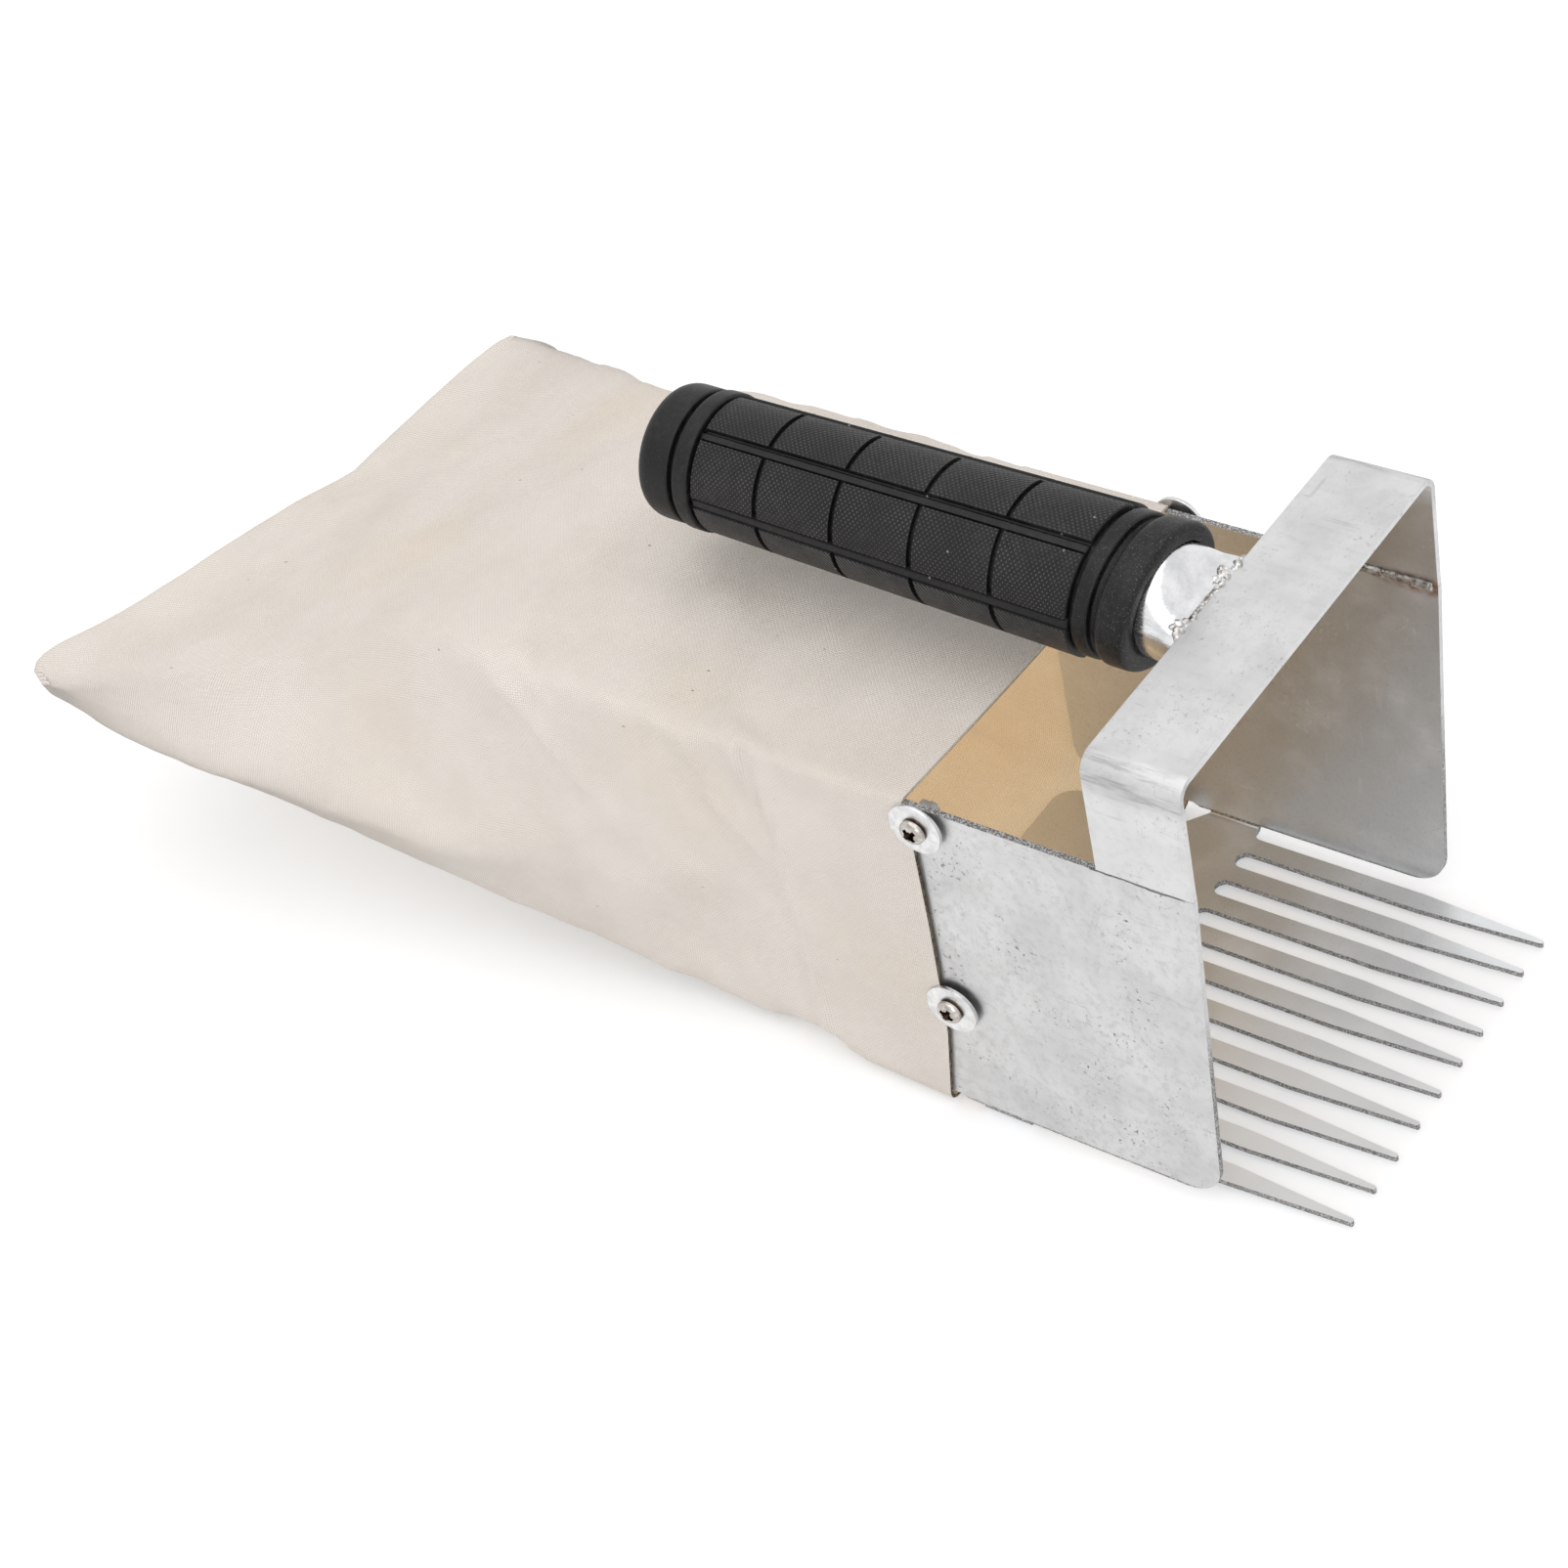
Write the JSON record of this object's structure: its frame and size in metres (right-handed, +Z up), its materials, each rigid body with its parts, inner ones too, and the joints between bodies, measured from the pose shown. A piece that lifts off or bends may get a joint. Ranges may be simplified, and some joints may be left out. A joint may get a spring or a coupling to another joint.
{
  "type": "berry picking rake",
  "caption": "Hand scoop with a toothed sheet-metal tray, a bent strap over it, a tube handle with a rubber grip, and a canvas bag behind.",
  "frame": {"origin": "centre of the part's bounding box, at the height of the canvas underside that it rests on", "axes": "+Y from the tooth tips back towards the bag's seam, +Z up, +X to the right seen from behind with the teeth pointing away"},
  "size_m": [0.168, 0.3396, 0.1393],
  "materials": {
    "sheet_metal": "satin mill finish with light scuffs",
    "tube_metal": "bright drawn",
    "weld": "as welded",
    "rubber": "matt moulded, with a fine knurl",
    "canvas": "plain woven, unbleached",
    "hardware": "bright zinc plated"
  },
  "bodies": {
    "root": {"scoop_tray": "sheet_metal", "bridge_strap": "sheet_metal", "strap_weld_left": "weld", "strap_weld_right": "weld", "handle_tube": "tube_metal", "handle_weld": "weld", "rubber_grip": "rubber", "canvas_bag": "canvas", "bag_screws_left": "hardware", "outer_washers_left": "hardware", "inner_washers_left": "hardware", "hex_nuts_left": "hardware", "bag_screws_right": "hardware", "outer_washers_right": "hardware", "inner_washers_right": "hardware", "hex_nuts_right": "hardware"}
  },
  "joints": []
}
